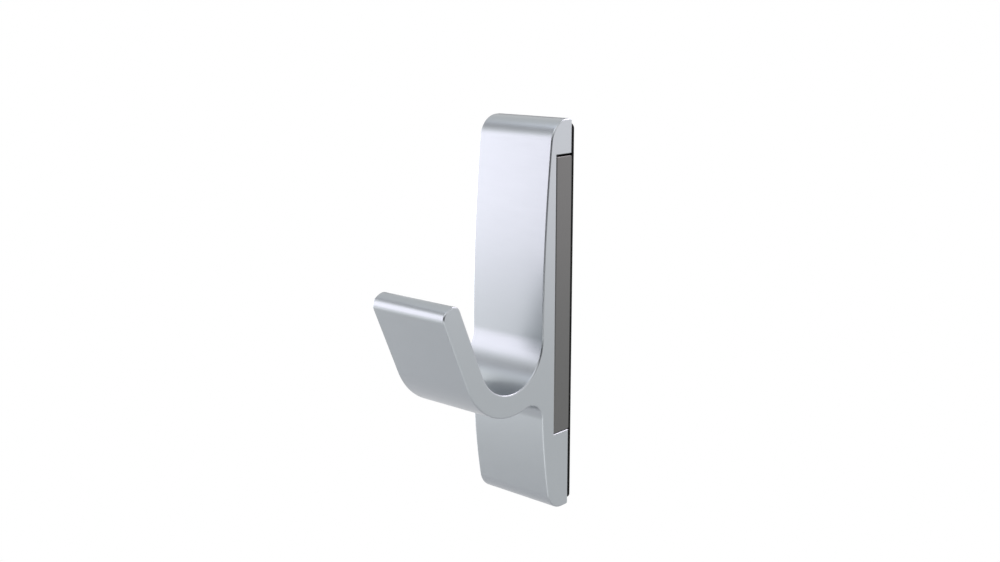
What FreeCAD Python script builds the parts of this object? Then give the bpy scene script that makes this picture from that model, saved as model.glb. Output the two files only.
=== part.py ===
"""Magnetic coat hook, in millimetres.

The hook is a slice of one extruded aluminium section, so a single outline
carries the plate, the cradle and the arm. A channel in its back holds a magnet
bar, and a thin pad covers the back of both.

The origin is the centre of the pad's rear face, which lies on the wall.
+X points to the right, +Y into the wall and +Z up, so the arm reaches to -Y.
"""
import FreeCAD
import Part
import Sketcher
import math
import os

from FreeCAD import Vector

# Driving sizes in millimetres, and one angle in degrees
SIZES = {
    "body_height": 100.0,
    "body_width": 23.5,
    "plate_thickness": 10.6,
    "crown_height": 46.5,
    "top_fall": 3.45,
    "top_round": 6.0,
    "back_round": 0.6,
    "cradle_radius": 11.5,
    "arm_thickness": 5.75,
    "arm_lean": 23.8,
    "arm_length": 21.0,
    "tip_round": 2.3,
    "tip_crown": 8.0,
    "under_fillet": 5.2,
    "belly_height": 32.0,
    "foot_fall": 3.4,
    "foot_round": 5.8,
    "edge_round": 0.4,
    "channel_foot": 20.5,
    "channel_head": 8.6,
    "channel_depth": 5.8,
    "magnet_end_gap": 0.35,
    "magnet_side_inset": 0.1,
    "magnet_bevel": 0.35,
    "pad_thickness": 0.84,
    "pad_end_inset": 1.2,
    "pad_side_inset": 0.1,
    "pad_corner_round": 1.4,
}

# Sizes that follow from the driving ones. Each face of the plate is an arc that
# is upright at its fullest level and falls back by a given depth at its end. The
# arm ends in a shallow dome between two corner rounds.
FORMULAS = {
    "upper_face_radius": "(top_fall ^ 2 + (body_height - crown_height) ^ 2) / (2 * top_fall)",
    "lower_face_radius": "(foot_fall ^ 2 + belly_height ^ 2) / (2 * foot_fall)",
    "outer_radius": "cradle_radius + arm_thickness",
    "tip_drop": "sqrt((tip_crown - tip_round) ^ 2 - (arm_thickness / 2 - tip_round) ^ 2)",
    "arm_straight": "arm_length - tip_crown + tip_drop",
    "channel_length": "body_height - channel_foot - channel_head",
    "magnet_length": "channel_length - magnet_end_gap",
    "magnet_width": "body_width - 2 * magnet_side_inset",
    "pad_width": "body_width - 2 * pad_side_inset",
    "pad_height": "body_height - 2 * pad_end_inset",
}

START = 1
END = 2
CENTRE = 3
ORIGIN = -1


def make_sheet(doc):
    """Write every size into a sheet, each cell named by its alias."""
    sheet = doc.addObject("Spreadsheet::Sheet", "Sizes")
    row = 1
    for name, number in SIZES.items():
        sheet.set("A%d" % row, name)
        sheet.set("B%d" % row, str(number))
        sheet.setAlias("B%d" % row, name)
        row += 1
    for name, formula in FORMULAS.items():
        sheet.set("A%d" % row, name)
        sheet.set("B%d" % row, "=" + formula)
        sheet.setAlias("B%d" % row, name)
        row += 1
    doc.recompute()
    return sheet


def new_body(doc, name, label):
    body = doc.addObject("PartDesign::Body", name)
    body.Label = label
    return body


def new_sketch(body, role, name):
    """Start a sketch on one of the body's own origin planes."""
    plane = [item for item in body.Origin.OriginFeatures if item.Role == role][0]
    sketch = body.newObject("Sketcher::SketchObject", name)
    sketch.AttachmentSupport = [(plane, "")]
    sketch.MapMode = "FlatFace"
    return sketch


class Edge:
    """One edge of an outline, with the ends by which a walk enters and leaves it."""

    def __init__(self, index, enter, leave):
        self.index = index
        self.enter = enter
        self.leave = leave


def add_line(sketch, start, end):
    index = sketch.addGeometry(Part.LineSegment(start, end), False)
    return Edge(index, START, END)


def add_arc(sketch, centre, start, end, clockwise=False):
    """Add an arc walked from start to end, anticlockwise unless told otherwise."""
    first = end if clockwise else start
    last = start if clockwise else end
    circle = Part.Circle(centre, Vector(0, 0, 1), (start - centre).Length)
    first_angle = math.atan2(first.y - centre.y, first.x - centre.x)
    last_angle = math.atan2(last.y - centre.y, last.x - centre.x)
    if last_angle < first_angle:
        last_angle += 2 * math.pi
    index = sketch.addGeometry(Part.ArcOfCircle(circle, first_angle, last_angle), False)
    if clockwise:
        return Edge(index, END, START)
    return Edge(index, START, END)


def join(sketch, kind, edges):
    """Join each edge of a run to the next one, end to end."""
    for edge, follower in zip(edges, edges[1:]):
        ends = (edge.index, edge.leave, follower.index, follower.enter)
        sketch.addConstraint(Sketcher.Constraint(kind, *ends))


def dimension(sketch, name, kind, places, expression):
    """Add a named dimension and tie it to the sheet."""
    number = float(sketch.evalExpression(expression))
    if kind == "Angle":
        number = math.radians(number)
    index = sketch.addConstraint(Sketcher.Constraint(kind, *places, number))
    sketch.renameConstraint(index, name)
    sketch.setExpression("Constraints." + name, expression)


def along(start, towards, distance):
    """Return the point at a distance from start, in the direction of another point."""
    step = towards - start
    return start + step * (distance / step.Length)


def lower_crossing(first, first_radius, second, second_radius):
    """Return the lower of the two points where two circles cross."""
    span = (second - first).Length
    reach = (span ** 2 + first_radius ** 2 - second_radius ** 2) / (2 * span)
    rise = math.sqrt(first_radius ** 2 - reach ** 2)
    middle = along(first, second, reach)
    across = Vector(second.y - first.y, first.x - second.x, 0) * (rise / span)
    return min(middle + across, middle - across, key=lambda place: place.y)


def draw_hook_outline(sketch, size):
    """Draw the section with its back on the upright axis and its foot at the origin."""
    height = size("body_height")
    thickness = size("plate_thickness")
    back_round = size("back_round")
    tip_round = size("tip_round")
    lean = math.radians(size("arm_lean"))
    outward = Vector(-math.cos(lean), -math.sin(lean), 0)
    upward = Vector(-math.sin(lean), math.cos(lean), 0)

    upper_face = Vector(size("upper_face_radius") - thickness, size("crown_height"), 0)
    top_level = height - size("top_round")
    top_reach = size("upper_face_radius") - size("top_round")
    top_back = math.sqrt(top_reach ** 2 - (top_level - upper_face.y) ** 2)
    top = Vector(upper_face.x - top_back, top_level, 0)

    cradle = Vector(-thickness - size("cradle_radius"), size("crown_height"), 0)
    arm_foot = cradle + outward * size("cradle_radius")
    arm_top = arm_foot + upward * size("arm_straight")
    inner_tip = arm_top + outward * tip_round
    outer_tip = arm_top + outward * (size("arm_thickness") - tip_round)
    dome = (inner_tip + outer_tip) * 0.5 - upward * size("tip_drop")
    dome_start = along(dome, inner_tip, size("tip_crown"))
    dome_end = along(dome, outer_tip, size("tip_crown"))
    outer_foot = cradle + outward * size("outer_radius")
    outer_top = arm_top + outward * size("arm_thickness")

    lower_face = Vector(size("lower_face_radius") - thickness, size("belly_height"), 0)
    under = lower_crossing(cradle, size("outer_radius") + size("under_fillet"),
                           lower_face, size("lower_face_radius") + size("under_fillet"))
    foot_reach = size("lower_face_radius") - size("foot_round")
    foot_back = math.sqrt(foot_reach ** 2 - (size("foot_round") - lower_face.y) ** 2)
    foot = Vector(lower_face.x - foot_back, size("foot_round"), 0)

    low_back = Vector(-back_round, back_round, 0)
    high_back = Vector(-back_round, height - back_round, 0)
    top_start = along(upper_face, top, size("upper_face_radius"))
    crown = Vector(-thickness, size("crown_height"), 0)
    under_start = along(cradle, under, size("outer_radius"))
    under_end = along(lower_face, under, size("lower_face_radius"))
    foot_start = along(lower_face, foot, size("lower_face_radius"))

    back = add_line(sketch, Vector(0, low_back.y, 0), Vector(0, high_back.y, 0))
    high_corner = add_arc(sketch, high_back, Vector(0, high_back.y, 0), Vector(high_back.x, height, 0))
    head = add_line(sketch, Vector(high_back.x, height, 0), Vector(top.x, height, 0))
    top_arc = add_arc(sketch, top, Vector(top.x, height, 0), top_start)
    upper_arc = add_arc(sketch, upper_face, top_start, crown)
    cradle_arc = add_arc(sketch, cradle, crown, arm_foot, clockwise=True)
    arm_inside = add_line(sketch, arm_foot, arm_top)
    inner_corner = add_arc(sketch, inner_tip, arm_top, dome_start)
    tip = add_arc(sketch, dome, dome_start, dome_end)
    outer_corner = add_arc(sketch, outer_tip, dome_end, outer_top)
    arm_outside = add_line(sketch, outer_top, outer_foot)
    outer_arc = add_arc(sketch, cradle, outer_foot, under_start)
    under_arc = add_arc(sketch, under, under_start, under_end, clockwise=True)
    lower_arc = add_arc(sketch, lower_face, under_end, foot_start)
    foot_arc = add_arc(sketch, foot, foot_start, Vector(foot.x, 0, 0))
    sole = add_line(sketch, Vector(foot.x, 0, 0), Vector(low_back.x, 0, 0))
    low_corner = add_arc(sketch, low_back, Vector(low_back.x, 0, 0), Vector(0, low_back.y, 0))

    walk = [back, high_corner, head, top_arc, upper_arc, cradle_arc, arm_inside, inner_corner, tip,
            outer_corner, arm_outside, outer_arc, under_arc, lower_arc, foot_arc, sole, low_corner]
    join(sketch, "Tangent", walk + [back])

    # A guide line across the arm keeps both of its faces the same length
    across = add_line(sketch, arm_top, outer_top)
    sketch.setConstruction(across.index, True)
    for edge, end, guide_end in ((arm_inside, END, START), (arm_outside, START, END)):
        sketch.addConstraint(Sketcher.Constraint("Coincident", edge.index, end, across.index, guide_end))

    for kind, edge in (("Vertical", back), ("Horizontal", head), ("Horizontal", sole)):
        sketch.addConstraint(Sketcher.Constraint(kind, edge.index))
    for kind, first, second in (("Perpendicular", arm_inside, across), ("Parallel", arm_inside, arm_outside),
                                ("Equal", inner_corner, outer_corner), ("Equal", high_corner, low_corner)):
        sketch.addConstraint(Sketcher.Constraint(kind, first.index, second.index))
    for kind, first, second in (("Coincident", cradle_arc, outer_arc), ("Horizontal", upper_arc, cradle_arc)):
        sketch.addConstraint(Sketcher.Constraint(kind, first.index, CENTRE, second.index, CENTRE))
    sketch.addConstraint(Sketcher.Constraint("PointOnObject", back.index, START, -2))
    sketch.addConstraint(Sketcher.Constraint("PointOnObject", sole.index, END, -1))

    for name, edge in (("top_round", top_arc), ("back_round", high_corner), ("cradle_radius", cradle_arc),
                       ("tip_round", inner_corner), ("tip_crown", tip), ("under_fillet", under_arc),
                       ("foot_round", foot_arc),
                       ("upper_face_radius", upper_arc), ("lower_face_radius", lower_arc),
                       ("outer_radius", outer_arc)):
        dimension(sketch, name, "Radius", (edge.index,), "Sizes." + name)
    dimension(sketch, "body_height", "DistanceY", (ORIGIN, START, head.index, START), "Sizes.body_height")
    dimension(sketch, "crown_height", "DistanceY", (ORIGIN, START, upper_arc.index, CENTRE),
              "Sizes.crown_height")
    dimension(sketch, "belly_height", "DistanceY", (ORIGIN, START, lower_arc.index, CENTRE),
              "Sizes.belly_height")
    dimension(sketch, "plate_thickness", "DistanceX", (upper_arc.index, END, ORIGIN, START),
              "Sizes.plate_thickness")
    dimension(sketch, "lower_face_setback", "DistanceX", (ORIGIN, START, lower_arc.index, CENTRE),
              "Sizes.lower_face_radius - Sizes.plate_thickness")
    dimension(sketch, "arm_lean", "Angle", (arm_inside.index,), "90 + Sizes.arm_lean")
    dimension(sketch, "arm_straight", "Distance", (arm_inside.index,), "Sizes.arm_straight")


def draw_rectangle(sketch, width_name, height_name):
    """Draw a rectangle from the origin, to the left and up."""
    width = float(sketch.evalExpression("Sizes." + width_name))
    height = float(sketch.evalExpression("Sizes." + height_name))
    corners = [Vector(0, 0, 0), Vector(0, height, 0), Vector(-width, height, 0), Vector(-width, 0, 0)]
    sides = []
    for start, end in zip(corners, corners[1:] + corners[:1]):
        sides.append(add_line(sketch, start, end))
    join(sketch, "Coincident", sides + sides[:1])
    for kind, side in zip(("Vertical", "Horizontal", "Vertical", "Horizontal"), sides):
        sketch.addConstraint(Sketcher.Constraint(kind, side.index))
    sketch.addConstraint(Sketcher.Constraint("Coincident", sides[0].index, START, ORIGIN, START))
    dimension(sketch, width_name, "DistanceX", (sides[1].index, END, sides[1].index, START),
              "Sizes." + width_name)
    dimension(sketch, height_name, "DistanceY", (sides[0].index, START, sides[0].index, END),
              "Sizes." + height_name)


def draw_rounded_rectangle(sketch, width_name, height_name, round_name):
    """Draw a rectangle with rounded corners, centred on the origin."""
    radius = float(sketch.evalExpression("Sizes." + round_name))
    across = float(sketch.evalExpression("Sizes." + width_name)) / 2 - radius
    upward = float(sketch.evalExpression("Sizes." + height_name)) / 2 - radius
    sides = []
    corners = []
    walk = []
    for quarter, (right, top) in enumerate(((1, 1), (-1, 1), (-1, -1), (1, -1))):
        centre = Vector(right * across, top * upward, 0)
        angle = quarter * math.pi / 2
        ahead = Vector(math.cos(angle), math.sin(angle), 0)
        aside = Vector(-math.sin(angle), math.cos(angle), 0)
        straight = 2 * (upward if quarter % 2 == 0 else across)
        side_end = centre + ahead * radius
        side = add_line(sketch, side_end - aside * straight, side_end)
        corner = add_arc(sketch, centre, side_end, centre + aside * radius)
        sides.append(side)
        corners.append(corner)
        walk += [side, corner]
    join(sketch, "Tangent", walk + walk[:1])
    for kind, side in zip(("Vertical", "Horizontal", "Vertical", "Horizontal"), sides):
        sketch.addConstraint(Sketcher.Constraint(kind, side.index))
    for corner in corners[1:]:
        sketch.addConstraint(Sketcher.Constraint("Equal", corners[0].index, corner.index))
    opposite = (corners[0].index, CENTRE, corners[2].index, CENTRE, ORIGIN, START)
    sketch.addConstraint(Sketcher.Constraint("Symmetric", *opposite))
    dimension(sketch, round_name, "Radius", (corners[0].index,), "Sizes." + round_name)
    dimension(sketch, width_name, "DistanceX", (sides[2].index, START, sides[0].index, END),
              "Sizes." + width_name)
    dimension(sketch, height_name, "DistanceY", (sides[3].index, START, sides[1].index, END),
              "Sizes." + height_name)


def side_edges(shape, half_width):
    """Name the edges that lie in either of the two flat sides."""
    names = []
    for number, edge in enumerate(shape.Edges, 1):
        box = edge.BoundBox
        in_side = box.XLength < 1e-6 and abs(abs(box.XMin) - half_width) < 1e-6
        if in_side:
            names.append("Edge%d" % number)
    return names


def make_hook_body(doc, size):
    """Extrude the section, cut the channel across its back and ease the side edges."""
    body = new_body(doc, "HookBody", "hook_body")
    section = new_sketch(body, "YZ_Plane", "HookSection")
    draw_hook_outline(section, size)
    extrusion = body.newObject("PartDesign::Pad", "HookExtrusion")
    extrusion.Profile = section
    extrusion.SideType = "Symmetric"
    extrusion.setExpression("Length", "Sizes.body_width")

    mouth = new_sketch(body, "YZ_Plane", "ChannelSection")
    mouth.setExpression("AttachmentOffset.Base.y", "Sizes.channel_foot")
    draw_rectangle(mouth, "channel_depth", "channel_length")
    channel = body.newObject("PartDesign::Pocket", "Channel")
    channel.Profile = mouth
    channel.SideType = "Symmetric"
    channel.setExpression("Length", "2 * Sizes.body_width")
    doc.recompute()

    easing = body.newObject("PartDesign::Fillet", "EdgeEasing")
    easing.Base = (channel, side_edges(channel.Shape, size("body_width") / 2))
    easing.setExpression("Radius", "Sizes.edge_round")
    body.setExpression("Placement.Base.y", "-Sizes.pad_thickness")
    body.setExpression("Placement.Base.z", "-Sizes.body_height / 2")
    return body


def make_magnet_bar(doc):
    """Make the bar that fills the channel and stands on its lower ledge."""
    body = new_body(doc, "MagnetBar", "magnet_bar")
    section = new_sketch(body, "YZ_Plane", "BarSection")
    draw_rectangle(section, "channel_depth", "magnet_length")
    bar = body.newObject("PartDesign::Pad", "Bar")
    bar.Profile = section
    bar.SideType = "Symmetric"
    bar.setExpression("Length", "Sizes.magnet_width")
    doc.recompute()

    bevel = body.newObject("PartDesign::Chamfer", "BarBevel")
    bevel.Base = (bar, ["Face%d" % number for number in range(1, len(bar.Shape.Faces) + 1)])
    bevel.setExpression("Size", "Sizes.magnet_bevel")
    body.setExpression("Placement.Base.y", "-Sizes.pad_thickness")
    body.setExpression("Placement.Base.z", "Sizes.channel_foot - Sizes.body_height / 2")
    return body


def make_backing_pad(doc):
    """Make the thin pad that lies between the metal and the wall."""
    body = new_body(doc, "BackingPad", "backing_pad")
    face = new_sketch(body, "XZ_Plane", "PadOutline")
    draw_rounded_rectangle(face, "pad_width", "pad_height", "pad_corner_round")
    sheet = body.newObject("PartDesign::Pad", "PadSheet")
    sheet.Profile = face
    sheet.setExpression("Length", "Sizes.pad_thickness")
    body.Placement = FreeCAD.Placement()
    return body


def check_document(doc, bodies):
    """Stop if any object failed or any sub-part isn't one sound solid."""
    for item in doc.Objects:
        if "Invalid" in item.State or "Error" in item.State:
            raise RuntimeError("%s failed: %s" % (item.Name, item.State))
    for item in doc.findObjects("Sketcher::SketchObject"):
        if not item.FullyConstrained:
            raise RuntimeError("%s isn't fully constrained" % item.Name)
    for body in bodies:
        shape = body.Shape
        if shape.isNull() or not shape.isValid() or len(shape.Solids) != 1:
            raise RuntimeError("%s isn't one sound solid" % body.Label)


def main():
    doc = FreeCAD.newDocument("CoatHook")
    sheet = make_sheet(doc)

    def size(name):
        return float(sheet.get(name))

    bodies = [make_hook_body(doc, size), make_magnet_bar(doc), make_backing_pad(doc)]
    doc.recompute()
    check_document(doc, bodies)
    os.makedirs("parts", exist_ok=True)
    for body in bodies:
        body.Shape.exportStep("parts/%s.step" % body.Label)
        box = body.Shape.BoundBox
        print(body.Label, "volume %.1f" % body.Shape.Volume,
              "x %.2f %.2f" % (box.XMin, box.XMax),
              "y %.2f %.2f" % (box.YMin, box.YMax),
              "z %.2f %.2f" % (box.ZMin, box.ZMax))


main()
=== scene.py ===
"""Magnetic coat hook: the looks of the three pieces, and a plain studio.

The metal is modelled again here on the same section as the construction, with
closer steps on its round stretches, because it mirrors the studio. The magnet
bar is modelled again with its edges rounded, except where it lies on the pad.
The pad keeps its construction mesh and gets a finish.
"""
import math

import bmesh
import bpy
from bpy.props import FloatProperty, FloatVectorProperty, IntProperty, PointerProperty
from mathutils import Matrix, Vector


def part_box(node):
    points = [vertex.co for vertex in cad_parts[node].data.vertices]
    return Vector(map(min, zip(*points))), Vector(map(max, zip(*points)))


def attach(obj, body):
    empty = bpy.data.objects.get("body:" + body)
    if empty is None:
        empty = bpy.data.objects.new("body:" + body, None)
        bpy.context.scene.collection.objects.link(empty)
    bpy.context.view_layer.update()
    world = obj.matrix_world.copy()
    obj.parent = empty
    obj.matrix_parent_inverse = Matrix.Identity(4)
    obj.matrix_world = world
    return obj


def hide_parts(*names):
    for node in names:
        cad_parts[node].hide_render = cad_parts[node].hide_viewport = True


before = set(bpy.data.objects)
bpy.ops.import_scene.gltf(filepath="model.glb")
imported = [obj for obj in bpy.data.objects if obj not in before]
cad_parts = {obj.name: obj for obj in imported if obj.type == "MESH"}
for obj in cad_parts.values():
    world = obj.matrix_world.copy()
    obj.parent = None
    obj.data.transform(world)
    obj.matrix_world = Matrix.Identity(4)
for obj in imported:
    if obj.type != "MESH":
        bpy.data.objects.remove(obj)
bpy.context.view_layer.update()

bl_info = {
    "name": "Magnetic coat hook",
    "version": (1, 0, 0),
    "blender": (4, 5, 0),
    "location": "View3D > Sidebar > Coat hook",
    "description": "Models a magnetic coat hook from its section and sets up a plain studio",
    "category": "Object",
}

MM = 0.001
METAL_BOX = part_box("hook_body")
MAGNET_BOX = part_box("magnet_bar")

# Modelling: how near two points count as one, how far the walk round the section may end
# from its start, and how near an edge is to the pad to count as lying on it.
SAME_PLACE = MM / 1000
WALK_SLACK = MM / 100
PAD_SLACK = MM / 10
FEWEST_ARC_STEPS = 4
ROUND_PROFILE = 0.5
SMOOTH_ANGLE = math.radians(35.0)
FULL_AREA_WEIGHT = 100

# Noises: scale, detail and stretch. The metal's lines are drawn out along the extrusion.
METAL_CLOUD = (60.0, 2.0, (1.0, 1.0, 1.0))
METAL_LINES = (2500.0, 3.0, (0.06, 1.0, 1.0))
MAGNET_GRAIN = (2600.0, 4.0, (1.0, 1.0, 1.0))
RUBBER_GRAIN = (3200.0, 5.0, (1.0, 1.0, 1.0))
# The part of a noise's range that is spread over the range of a roughness.
NOISE_LOW = 0.3
NOISE_HIGH = 0.7
# Shares by which a noise darkens and lightens a colour.
METAL_TINT = 0.012
MAGNET_TINT = 0.04
RUBBER_TINT = 0.15
# Roughness: a step to either side for the metal, the lowest and highest for the others.
METAL_ROUGHNESS_STEP = 0.015
MAGNET_ROUGHNESS = (0.31, 0.35)
RUBBER_ROUGHNESS = (0.62, 0.8)
# Depths of the fine relief.
METAL_RELIEF = 0.0008 * MM
MAGNET_RELIEF = 0.004 * MM
RUBBER_RELIEF = 0.02 * MM
# Strength of the faint shine on the rubber.
RUBBER_SHINE = 0.06

# Softboxes: name, azimuth, elevation, distance, width, height, radiance and colour. Lengths
# are in metres and angles in degrees, with azimuth 0 at the front and 90 at the right.
SOFTBOXES = (
    ("front_main", -42.0, 10.0, 0.8, 0.46, 0.5, 1.15, (1.03, 0.92, 1.06)),
    ("front_wide", -66.0, 5.0, 0.8, 0.96, 0.92, 0.7, (1.0, 0.98, 1.02)),
    ("left_low", -100.0, -8.0, 0.8, 1.1, 0.17, 2.5, (1.0, 1.0, 1.0)),
    ("left_side", -80.0, -2.0, 0.8, 0.35, 0.7, 2.2, (1.0, 0.95, 1.06)),
    ("back_right", 150.0, 8.0, 0.8, 1.2, 0.55, 0.55, (1.05, 0.95, 1.01)),
    ("high_front", 45.0, 52.0, 0.8, 1.1, 0.46, 0.84, (1.04, 0.98, 0.97)),
    ("high_left", -48.0, 66.0, 0.8, 0.58, 0.28, 1.15, (0.96, 1.01, 1.18)),
    ("high_back", 174.0, 38.0, 0.8, 0.5, 0.62, 4.5, (1.05, 0.93, 1.03)),
    ("front_low", 20.0, -24.0, 0.8, 1.2, 0.26, 0.95, (1.02, 1.0, 0.98)),
    ("right_low", 80.0, -35.0, 0.8, 0.7, 0.4, 0.5, (1.0, 1.0, 1.0)),
    ("edge_front", 42.0, -50.0, 0.35, 0.36, 0.24, 0.5, (1.0, 1.0, 1.0)),
    ("cradle_fill", -90.0, 18.0, 0.042, 0.032, 0.03, 0.8, (1.0, 1.0, 1.0)),
)
# Cards: name, azimuth, elevation, width, height and tone.
CARDS = (
    ("camera_flag_left", 0.0, 14.0, 1.13, 0.75, 0.04),
    ("camera_flag_right", 64.0, 11.0, 1.15, 0.85, 0.2),
    ("high_flag", -60.0, 46.0, 0.69, 0.25, 0.6),
    ("back_flag", -139.0, 8.0, 1.2, 0.3, 0.05),
)
CARD_ROUGHNESS = 0.9
# The floor is a round disc below the hook. Lengths are in metres.
FLOOR_RADIUS = 0.4
FLOOR_LEVEL = -0.3
FLOOR_SIDES = 96
FLOOR_ROUGHNESS = 0.8
# The camera's sensor is in millimetres and the range that it sees in metres.
SENSOR_WIDTH = 36.0
NEAREST_SEEN = 0.01
FARTHEST_SEEN = 20.0


def length(name, default, description):
    """Return a property for a length in metres."""
    return FloatProperty(name=name, default=default, description=description, unit="LENGTH",
                         precision=5, min=0.0)


def angle(name, degrees, description):
    """Return a property for an angle, from its default in degrees."""
    return FloatProperty(name=name, default=math.radians(degrees), description=description,
                         subtype="ANGLE")


def tone(name, default, description):
    """Return a property for a colour."""
    return FloatVectorProperty(name=name, default=default, description=description,
                               subtype="COLOR", size=3, min=0.0, max=4.0)


class HookSizes(bpy.types.PropertyGroup):
    """Sizes of the extruded section and of the rounded edges, and the steps of the mesh"""

    crown_height: length("Crown height", 46.5 * MM, "Level above the foot where the face is fullest")
    plate_thickness: length("Plate thickness", 10.6 * MM, "Thickness of the plate at its crown")
    top_fall: length("Top fall", 3.45 * MM, "How far the face falls back at the top")
    top_round: length("Top round", 6.0 * MM, "Radius of the top's front corner")
    back_round: length("Back round", 0.6 * MM, "Radius of the back's two corners")
    cradle_radius: length("Cradle radius", 11.5 * MM, "Inner radius of the cradle")
    arm_thickness: length("Arm thickness", 5.75 * MM, "Thickness of the arm")
    arm_length: length("Arm length", 21.0 * MM, "Length from the cradle to the top of the arm's dome")
    arm_lean: angle("Arm lean", 23.8, "Lean of the arm away from the plate")
    tip_round: length("Tip round", 2.3 * MM, "Radius of the arm's two tip corners")
    tip_crown: length("Tip crown", 8.0 * MM, "Radius of the domed end between the two corners")
    under_fillet: length("Under fillet", 5.2 * MM, "Radius where the underside meets the plate")
    belly_height: length("Belly height", 32.0 * MM, "Level where the lower face is upright")
    foot_fall: length("Foot fall", 3.4 * MM, "How far the face falls back at the foot")
    foot_round: length("Foot round", 5.8 * MM, "Radius of the foot's front corner")
    channel_depth: length("Channel depth", 5.8 * MM, "Depth of the magnet channel")
    channel_foot: length("Channel foot", 20.5 * MM, "Level of the channel's lower ledge")
    channel_head: length("Channel head", 8.6 * MM, "Metal above the channel")
    edge_round: length("Edge round", 0.4 * MM, "Radius of the eased side edges")
    magnet_round: length("Magnet round", 0.4 * MM, "Radius of the magnet bar's edges")
    edge_steps: IntProperty(name="Edge steps", default=5, min=1,
                            description="Steps across an eased edge")
    face_steps: IntProperty(name="Face steps", default=36, min=1,
                            description="Steps along each long face of the plate")
    step_angle: angle("Step angle", 2.0, "Turn between two steps of a round stretch")


class HookFinish(bpy.types.PropertyGroup):
    """Colours of the three materials, and the polish of the metal"""

    metal: tone("Metal", (0.366, 0.392, 0.411), "Colour of the satin metal")
    metal_roughness: FloatProperty(name="Metal roughness", default=0.32, min=0.0, max=1.0,
                                   subtype="FACTOR",
                                   description="Softness of the reflections in the metal")
    magnet: tone("Magnet", (0.128, 0.129, 0.127), "Colour of the magnet bar")
    rubber: tone("Rubber", (0.005, 0.005, 0.0053), "Colour of the pad")


class HookStage(bpy.types.PropertyGroup):
    """Camera, background, floor, and distance of the cards"""

    aim: FloatVectorProperty(name="Aim", default=(-6.35 * MM, -7.01 * MM, 7.79 * MM), subtype="XYZ",
                             unit="LENGTH", description="Point in the middle of the picture")
    distance: length("Distance", 312.9 * MM, "Distance from the camera to the aim")
    azimuth: angle("Azimuth", 41.48, "Turn of the camera to the right of the front")
    elevation: angle("Elevation", 12.36, "Height of the camera above level")
    focal_length: FloatProperty(name="Focal length", default=43.866, min=1.0, unit="CAMERA",
                                description="Focal length in millimetres on a 36 mm sensor")
    background: FloatProperty(name="Background", default=1.0, min=0.0,
                              description="Strength of the white background")
    fill: FloatProperty(name="Fill", default=0.55, min=0.0,
                        description="Strength of the even light from all round")
    card_distance: length("Card distance", 0.9, "Distance of the cards from the hook")
    floor: tone("Floor", (0.68, 0.7, 0.685), "Colour of the pale floor")


def flat(y, z):
    """Return a point of the section."""
    return Vector((0.0, y, z))


def along(start, towards, distance):
    """Return the point at a distance from one point on the way to another."""
    return start + (towards - start).normalized() * distance


def lower_crossing(first, first_radius, second, second_radius):
    """Return the lower of the two points where two circles cross."""
    span = (second - first).length
    reach = (span ** 2 + first_radius ** 2 - second_radius ** 2) / (2 * span)
    rise = math.sqrt(first_radius ** 2 - reach ** 2)
    middle = along(first, second, reach)
    across = flat(second.z - first.z, first.y - second.y) * (rise / span)
    return min(middle + across, middle - across, key=lambda place: place.z)


def arc(centre, end, steps=None, clockwise=False):
    """Return a round stretch of the section. Without steps, its turn gives them."""
    return end, centre, clockwise, steps


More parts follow.
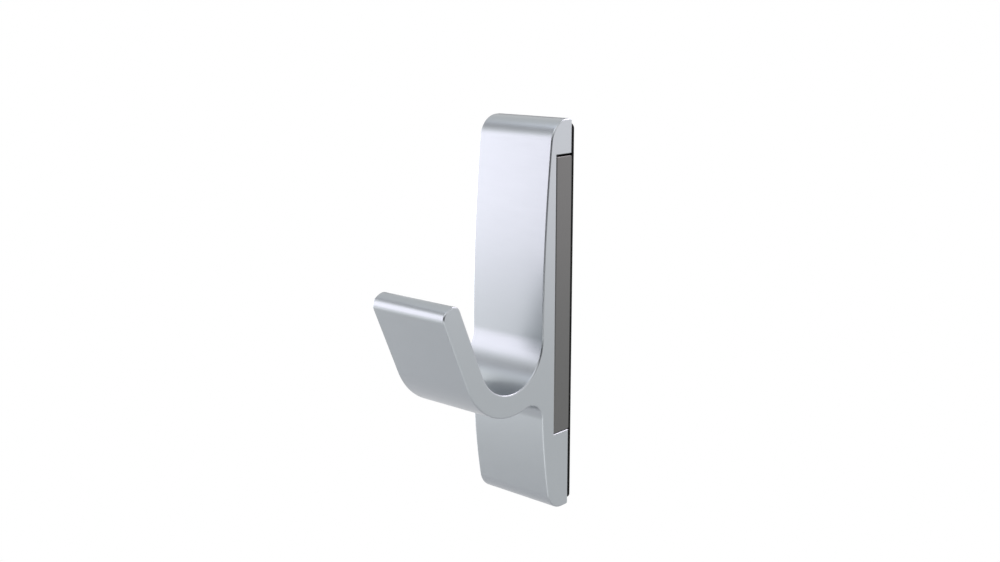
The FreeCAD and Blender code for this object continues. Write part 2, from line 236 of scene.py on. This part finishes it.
def section_walk(size):
    """Return the start of the section and its stretches in order.

    The walk starts low on the back and goes up it, round the channel and over the
    top. It comes down the front, round the cradle and the arm, and ends at the foot.
    A straight is (end,) and an arc is (end, centre, clockwise, steps).
    """
    back = METAL_BOX[1].y
    foot = METAL_BOX[0].z
    head = METAL_BOX[1].z
    height = head - foot
    crown = foot + size.crown_height
    front = back - size.plate_thickness
    inset = back - size.back_round
    depth = back - size.channel_depth
    ledge = foot + size.channel_foot
    ceiling = head - size.channel_head
    start = flat(back, foot + size.back_round)

    # The upper face is a long arc. It is upright at the crown, where the cradle starts.
    upper_radius = (size.top_fall ** 2 + (height - size.crown_height) ** 2) / (2 * size.top_fall)
    upper = flat(front + upper_radius, crown)
    top_level = head - size.top_round
    top_reach = math.sqrt((upper_radius - size.top_round) ** 2 - (top_level - crown) ** 2)
    top = flat(upper.y - top_reach, top_level)

    # The arm leans outward from the cradle, and ends in a dome between two small corners.
    outer_radius = size.cradle_radius + size.arm_thickness
    cradle = flat(front - size.cradle_radius, crown)
    outward = flat(-math.cos(size.arm_lean), -math.sin(size.arm_lean))
    upward = flat(-math.sin(size.arm_lean), math.cos(size.arm_lean))
    arm_foot = cradle + outward * size.cradle_radius
    corner_reach = size.arm_thickness / 2 - size.tip_round
    crown_drop = math.sqrt((size.tip_crown - size.tip_round) ** 2 - corner_reach ** 2)
    arm_top = arm_foot + upward * (size.arm_length - size.tip_crown + crown_drop)
    inner_tip = arm_top + outward * size.tip_round
    outer_tip = arm_top + outward * (size.arm_thickness - size.tip_round)
    tip = arm_top + outward * (size.arm_thickness / 2) - upward * crown_drop

    # The lower face is a long arc, upright at the belly. A fillet joins it to the cradle.
    lower_radius = (size.foot_fall ** 2 + size.belly_height ** 2) / (2 * size.foot_fall)
    lower = flat(front + lower_radius, foot + size.belly_height)
    under = lower_crossing(cradle, outer_radius + size.under_fillet,
                           lower, lower_radius + size.under_fillet)
    foot_level = foot + size.foot_round
    foot_reach = math.sqrt((lower_radius - size.foot_round) ** 2 - (foot_level - lower.z) ** 2)
    foot_centre = flat(lower.y - foot_reach, foot_level)

    return start, [
        (flat(back, ledge),),
        (flat(depth, ledge),),
        (flat(depth, ceiling),),
        (flat(back, ceiling),),
        (flat(back, head - size.back_round),),
        arc(flat(inset, head - size.back_round), flat(inset, head)),
        (flat(top.y, head),),
        arc(top, along(upper, top, upper_radius)),
        arc(upper, flat(front, crown), size.face_steps),
        arc(cradle, arm_foot, clockwise=True),
        (arm_top,),
        arc(inner_tip, along(tip, inner_tip, size.tip_crown)),
        arc(tip, along(tip, outer_tip, size.tip_crown)),
        arc(outer_tip, arm_top + outward * size.arm_thickness),
        (cradle + outward * outer_radius,),
        arc(cradle, along(cradle, under, outer_radius)),
        arc(under, along(lower, under, lower_radius), clockwise=True),
        arc(lower, along(lower, foot_centre, lower_radius), size.face_steps),
        arc(foot_centre, flat(foot_centre.y, foot)),
        (flat(inset, foot),),
        arc(flat(inset, foot + size.back_round), start),
    ]


def turn_between(centre, start, end, clockwise):
    """Return the angle from start to end about a centre, in the way of the walk."""
    first = math.atan2(start.z - centre.z, start.y - centre.y)
    last = math.atan2(end.z - centre.z, end.y - centre.y)
    turn = (first - last) if clockwise else (last - first)
    return turn % (2 * math.pi)


def deselect_all():
    """Leave edit mode and deselect every object."""
    if bpy.context.object and bpy.context.object.mode != "OBJECT":
        bpy.ops.object.mode_set(mode="OBJECT")
    bpy.ops.object.select_all(action="DESELECT")


def select_where(piece, kind, test):
    """Select in edit mode the vertices or edges that pass a test. The kind is VERT or EDGE."""
    mesh = bmesh.from_edit_mesh(piece.data)
    bpy.ops.mesh.select_mode(type=kind)
    bpy.ops.mesh.select_all(action="DESELECT")
    for item in mesh.verts if kind == "VERT" else mesh.edges:
        item.select_set(test(item))
    bmesh.update_edit_mesh(piece.data)


def place_first_edge(start, half):
    """Add an object of one edge that runs across the width at the start of the section."""
    deselect_all()
    bpy.ops.mesh.primitive_plane_add(size=2 * half, location=start)
    piece = bpy.context.object
    bpy.ops.object.transform_apply(location=True, rotation=True, scale=True)
    bpy.ops.object.mode_set(mode="EDIT")
    select_where(piece, "VERT", lambda vert: vert.co.y > start.y)
    bpy.ops.mesh.delete(type="VERT")
    bpy.ops.mesh.select_all(action="SELECT")
    bpy.ops.transform.translate(value=(0.0, half, 0.0))
    return piece


def sweep_section(piece, start, stretches, step_angle):
    """Draw the selected edge along the section by extrusions and spins."""
    place = start
    for stretch in stretches:
        end = stretch[0]
        if len(stretch) == 1:
            bpy.ops.mesh.extrude_region_move(TRANSFORM_OT_translate={"value": end - place})
        else:
            _, centre, clockwise, steps = stretch
            turn = turn_between(centre, place, end, clockwise)
            count = steps or max(FEWEST_ARC_STEPS, math.ceil(turn / step_angle))
            bpy.ops.mesh.spin(steps=count, angle=turn if clockwise else -turn, center=centre,
                              axis=(1.0, 0.0, 0.0))
        place = end
    reached = [vert.co for vert in bmesh.from_edit_mesh(piece.data).verts if vert.select]
    if max((flat(co.y, co.z) - place).length for co in reached) > WALK_SLACK:
        raise RuntimeError("the section's walk didn't end where it should")


def close_side(piece, side):
    """Fill the outline of the section at one side of the sweep."""
    select_where(piece, "EDGE",
                 lambda edge: all(abs(vert.co.x - side) < SAME_PLACE for vert in edge.verts))
    bpy.ops.mesh.edge_face_add()


def lies_in_side(edge):
    """Tell whether an edge stays at one place across the width."""
    return abs(edge.verts[0].co.x - edge.verts[1].co.x) < SAME_PLACE


def round_edges(radius, steps):
    """Round the selected edges."""
    bpy.ops.mesh.bevel(offset=radius, offset_type="OFFSET", segments=steps, profile=ROUND_PROFILE,
                       affect="EDGES", clamp_overlap=False, miter_inner="SHARP", miter_outer="SHARP")


def finish_shading(piece):
    """Shade a piece smooth, with its large faces kept flat."""
    bpy.ops.object.shade_smooth_by_angle(angle=SMOOTH_ANGLE)
    weighted = piece.modifiers.new("even_normals", "WEIGHTED_NORMAL")
    weighted.mode = "FACE_AREA"
    weighted.keep_sharp = True
    weighted.weight = FULL_AREA_WEIGHT
    bpy.ops.object.modifier_apply(modifier=weighted.name)


def model_hook(size):
    """Model the plate, cradle and arm as one swept section with eased side edges."""
    start, stretches = section_walk(size)
    half = METAL_BOX[1].x
    piece = place_first_edge(start, half)
    piece.name = "metal_hook"
    sweep_section(piece, start, stretches, size.step_angle)
    bpy.ops.mesh.select_all(action="SELECT")
    bpy.ops.mesh.remove_doubles(threshold=SAME_PLACE)
    close_side(piece, -half)
    close_side(piece, half)
    bpy.ops.mesh.select_all(action="SELECT")
    bpy.ops.mesh.normals_make_consistent(inside=False)
    select_where(piece, "EDGE", lies_in_side)
    round_edges(size.edge_round, size.edge_steps)
    bpy.ops.object.mode_set(mode="OBJECT")
    finish_shading(piece)
    return piece


def model_magnet(size):
    """Model the magnet bar with its edges rounded, save those against the pad."""
    low, high = MAGNET_BOX
    pad_side = high.y - PAD_SLACK
    deselect_all()
    bpy.ops.mesh.primitive_cube_add(size=1.0, location=(low + high) / 2)
    piece = bpy.context.object
    piece.name = "magnet_block"
    piece.scale = high - low
    bpy.ops.object.transform_apply(location=True, rotation=True, scale=True)
    bpy.ops.object.mode_set(mode="EDIT")
    select_where(piece, "EDGE", lambda edge: min(vert.co.y for vert in edge.verts) < pad_side)
    round_edges(size.magnet_round, size.edge_steps)
    bpy.ops.object.mode_set(mode="OBJECT")
    finish_shading(piece)
    return piece


def new_material(name):
    """Return a new material, its node tree and its shader."""
    material = bpy.data.materials.new(name)
    material.use_nodes = True
    tree = material.node_tree
    tree.nodes.clear()
    output = tree.nodes.new("ShaderNodeOutputMaterial")
    shader = tree.nodes.new("ShaderNodeBsdfPrincipled")
    tree.links.new(shader.outputs["BSDF"], output.inputs["Surface"])
    return material, tree, shader


def plain_material(name, colour, roughness):
    """Return a new material of one colour and roughness."""
    material, _, shader = new_material(name)
    shader.inputs["Base Color"].default_value = (*colour, 1.0)
    shader.inputs["Roughness"].default_value = roughness
    return material


def add_noise(tree, scale, detail, stretch):
    """Add a noise on the piece's own coordinates, drawn out by a stretch."""
    place = tree.nodes.new("ShaderNodeTexCoord")
    mapping = tree.nodes.new("ShaderNodeMapping")
    mapping.inputs["Scale"].default_value = stretch
    noise = tree.nodes.new("ShaderNodeTexNoise")
    noise.inputs["Scale"].default_value = scale
    noise.inputs["Detail"].default_value = detail
    tree.links.new(place.outputs["Object"], mapping.inputs["Vector"])
    tree.links.new(mapping.outputs["Vector"], noise.inputs["Vector"])
    return noise.outputs["Fac"]


def add_tint(tree, shader, noise, colour, share):
    """Vary the shader's colour a little by a noise."""
    mix = tree.nodes.new("ShaderNodeMix")
    mix.data_type = "RGBA"
    mix.inputs["A"].default_value = [part * (1.0 - share) for part in colour] + [1.0]
    mix.inputs["B"].default_value = [part * (1.0 + share) for part in colour] + [1.0]
    tree.links.new(noise, mix.inputs["Factor"])
    tree.links.new(mix.outputs["Result"], shader.inputs["Base Color"])


def add_polish(tree, shader, noise, lowest, highest):
    """Vary the shader's roughness between two values by a noise."""
    spread = tree.nodes.new("ShaderNodeMapRange")
    spread.inputs["From Min"].default_value = NOISE_LOW
    spread.inputs["From Max"].default_value = NOISE_HIGH
    spread.inputs["To Min"].default_value = lowest
    spread.inputs["To Max"].default_value = highest
    tree.links.new(noise, spread.inputs["Value"])
    tree.links.new(spread.outputs["Result"], shader.inputs["Roughness"])


def add_relief(tree, shader, noise, depth):
    """Give the shader a fine relief by a noise."""
    bump = tree.nodes.new("ShaderNodeBump")
    bump.inputs["Strength"].default_value = 1.0
    bump.inputs["Distance"].default_value = depth
    tree.links.new(noise, bump.inputs["Height"])
    tree.links.new(bump.outputs["Normal"], shader.inputs["Normal"])


def metal_material():
    """Make satin metal with faint drawing lines along the extrusion."""
    finish = bpy.context.scene.coat_hook_finish
    material, tree, shader = new_material("satin_metal")
    shader.inputs["Metallic"].default_value = 1.0
    cloud = add_noise(tree, *METAL_CLOUD)
    lines = add_noise(tree, *METAL_LINES)
    add_tint(tree, shader, cloud, finish.metal, METAL_TINT)
    add_polish(tree, shader, lines, finish.metal_roughness - METAL_ROUGHNESS_STEP,
               finish.metal_roughness + METAL_ROUGHNESS_STEP)
    add_relief(tree, shader, lines, METAL_RELIEF)
    return material


def magnet_material():
    """Make the dull grey coat of the magnet bar, with a fine pressed grain."""
    finish = bpy.context.scene.coat_hook_finish
    material, tree, shader = new_material("magnet_coat")
    shader.inputs["Metallic"].default_value = 1.0
    grain = add_noise(tree, *MAGNET_GRAIN)
    add_tint(tree, shader, grain, finish.magnet, MAGNET_TINT)
    add_polish(tree, shader, grain, *MAGNET_ROUGHNESS)
    add_relief(tree, shader, grain, MAGNET_RELIEF)
    return material


def rubber_material():
    """Make the pad's matt black rubber with a fine grain."""
    finish = bpy.context.scene.coat_hook_finish
    material, tree, shader = new_material("pad_rubber")
    shader.inputs["Specular IOR Level"].default_value = RUBBER_SHINE
    grain = add_noise(tree, *RUBBER_GRAIN)
    add_tint(tree, shader, grain, finish.rubber, RUBBER_TINT)
    add_polish(tree, shader, grain, *RUBBER_ROUGHNESS)
    add_relief(tree, shader, grain, RUBBER_RELIEF)
    return material


class COATHOOK_OT_metal(bpy.types.Operator):
    """Model the plate, cradle and arm as one swept section"""

    bl_idname = "coat_hook.metal"
    bl_label = "Metal hook"

    def execute(self, context):
        piece = model_hook(context.scene.coat_hook_sizes)
        piece.data.materials.append(metal_material())
        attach(piece, "root")
        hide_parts("hook_body")
        return {"FINISHED"}


class COATHOOK_OT_magnet(bpy.types.Operator):
    """Model the magnet bar"""

    bl_idname = "coat_hook.magnet"
    bl_label = "Magnet bar"

    def execute(self, context):
        piece = model_magnet(context.scene.coat_hook_sizes)
        piece.data.materials.append(magnet_material())
        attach(piece, "root")
        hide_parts("magnet_bar")
        return {"FINISHED"}


class COATHOOK_OT_pad(bpy.types.Operator):
    """Give the pad its black finish in place of its packed colour"""

    bl_idname = "coat_hook.pad"
    bl_label = "Backing pad"

    def execute(self, context):
        rubber = rubber_material()
        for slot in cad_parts["backing_pad"].material_slots:
            slot.material = rubber
        return {"FINISHED"}


def direction(azimuth, elevation):
    """Return the way out from the object. Azimuth 0 is the front and 90 the right."""
    a = math.radians(azimuth)
    e = math.radians(elevation)
    return Vector((math.sin(a) * math.cos(e), -math.cos(a) * math.cos(e), math.sin(e)))


def facing(azimuth, elevation):
    """Return the turn of a lamp or card that faces the object from a direction."""
    return direction(azimuth, elevation).to_track_quat("Z", "Y").to_euler()


def add_softbox(name, azimuth, elevation, distance, width, height, radiance, colour):
    """Hang a soft lamp that faces the object. Its radiance is that of its own face."""
    deselect_all()
    bpy.ops.object.light_add(type="AREA", location=direction(azimuth, elevation) * distance)
    lamp = bpy.context.object
    lamp.name = name
    lamp.data.shape = "RECTANGLE"
    lamp.data.size = width
    lamp.data.size_y = height
    lamp.data.energy = radiance * width * height * math.pi
    lamp.data.color = colour
    lamp.rotation_euler = facing(azimuth, elevation)
    lamp.visible_camera = False


def add_card(name, azimuth, elevation, distance, width, height, shade):
    """Stand a plain card that shades one part of the reflections."""
    deselect_all()
    bpy.ops.mesh.primitive_plane_add(size=1.0, location=direction(azimuth, elevation) * distance)
    card = bpy.context.object
    card.name = name
    card.scale = (width, height, 1.0)
    card.rotation_euler = facing(azimuth, elevation)
    card.data.materials.append(plain_material(name + "_paper", (shade, shade, shade), CARD_ROUGHNESS))
    card.visible_camera = False
    card.visible_diffuse = False
    card.visible_shadow = False


def larger(tree, first, second):
    """Add a node that gives the larger of two values."""
    node = tree.nodes.new("ShaderNodeMath")
    node.operation = "MAXIMUM"
    tree.links.new(first, node.inputs[0])
    tree.links.new(second, node.inputs[1])
    return node.outputs["Value"]


def seen_directly(tree):
    """Return a value that is one for the camera and in reflections, and zero elsewhere."""
    path = tree.nodes.new("ShaderNodeLightPath")
    seen = larger(tree, path.outputs["Is Camera Ray"], path.outputs["Is Glossy Ray"])
    return larger(tree, seen, path.outputs["Is Transmission Ray"])


def set_world(stage):
    """Show white behind the object and in its reflections, and light it evenly."""
    world = bpy.data.worlds.new("studio_air")
    bpy.context.scene.world = world
    world.use_nodes = True
    tree = world.node_tree
    tree.nodes.clear()
    output = tree.nodes.new("ShaderNodeOutputWorld")
    mix = tree.nodes.new("ShaderNodeMixShader")
    even = tree.nodes.new("ShaderNodeBackground")
    even.inputs["Strength"].default_value = stage.fill
    white = tree.nodes.new("ShaderNodeBackground")
    white.inputs["Strength"].default_value = stage.background
    for node in (even, white):
        node.inputs["Color"].default_value = (1.0, 1.0, 1.0, 1.0)
    tree.links.new(seen_directly(tree), mix.inputs["Fac"])
    tree.links.new(even.outputs["Background"], mix.inputs[1])
    tree.links.new(white.outputs["Background"], mix.inputs[2])
    tree.links.new(mix.outputs["Shader"], output.inputs["Surface"])


def add_floor(stage):
    """Lay the pale floor below the hook."""
    deselect_all()
    bpy.ops.mesh.primitive_circle_add(vertices=FLOOR_SIDES, radius=FLOOR_RADIUS, fill_type="NGON",
                                      location=(0.0, 0.0, FLOOR_LEVEL))
    floor = bpy.context.object
    floor.name = "pale_floor"
    floor.data.materials.append(plain_material("floor_paper", stage.floor, FLOOR_ROUGHNESS))


def add_camera(stage):
    """Place the camera at the photograph's viewing angle."""
    deselect_all()
    back = direction(math.degrees(stage.azimuth), math.degrees(stage.elevation))
    bpy.ops.object.camera_add(location=Vector(stage.aim) + back * stage.distance)
    camera = bpy.context.object
    camera.name = "picture_camera"
    camera.data.sensor_width = SENSOR_WIDTH
    camera.data.lens = stage.focal_length
    camera.data.clip_start = NEAREST_SEEN
    camera.data.clip_end = FARTHEST_SEEN
    camera.rotation_euler = (-back).to_track_quat("-Z", "Y").to_euler()
    bpy.context.scene.camera = camera


class COATHOOK_OT_stage(bpy.types.Operator):
    """Set up the floor, the lamps, the cards and the camera"""

    bl_idname = "coat_hook.stage"
    bl_label = "Studio"

    def execute(self, context):
        stage = context.scene.coat_hook_stage
        set_world(stage)
        add_floor(stage)
        for softbox in SOFTBOXES:
            add_softbox(*softbox)
        for name, azimuth, elevation, width, height, shade in CARDS:
            add_card(name, azimuth, elevation, stage.card_distance, width, height, shade)
        add_camera(stage)
        context.scene.view_settings.view_transform = "Standard"
        return {"FINISHED"}


class COATHOOK_PT_panel(bpy.types.Panel):
    """List the steps in the sidebar"""

    bl_label = "Magnetic coat hook"
    bl_idname = "COATHOOK_PT_panel"
    bl_space_type = "VIEW_3D"
    bl_region_type = "UI"
    bl_category = "Coat hook"

    def draw(self, context):
        for operator in OPERATORS:
            self.layout.operator(operator.bl_idname)


GROUPS = (
    ("coat_hook_sizes", HookSizes),
    ("coat_hook_finish", HookFinish),
    ("coat_hook_stage", HookStage),
)
OPERATORS = (COATHOOK_OT_metal, COATHOOK_OT_magnet, COATHOOK_OT_pad, COATHOOK_OT_stage)


def register():
    """Register the groups of values, the operators and the panel."""
    for name, group in GROUPS:
        bpy.utils.register_class(group)
        setattr(bpy.types.Scene, name, PointerProperty(type=group))
    for operator in OPERATORS:
        bpy.utils.register_class(operator)
    bpy.utils.register_class(COATHOOK_PT_panel)


def unregister():
    """Take everything that register adds out again."""
    bpy.utils.unregister_class(COATHOOK_PT_panel)
    for operator in reversed(OPERATORS):
        bpy.utils.unregister_class(operator)
    for name, group in reversed(GROUPS):
        delattr(bpy.types.Scene, name)
        bpy.utils.unregister_class(group)


def main():
    """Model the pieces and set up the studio."""
    register()
    bpy.ops.coat_hook.metal()
    bpy.ops.coat_hook.magnet()
    bpy.ops.coat_hook.pad()
    bpy.ops.coat_hook.stage()


if __name__ == "__main__":
    main()
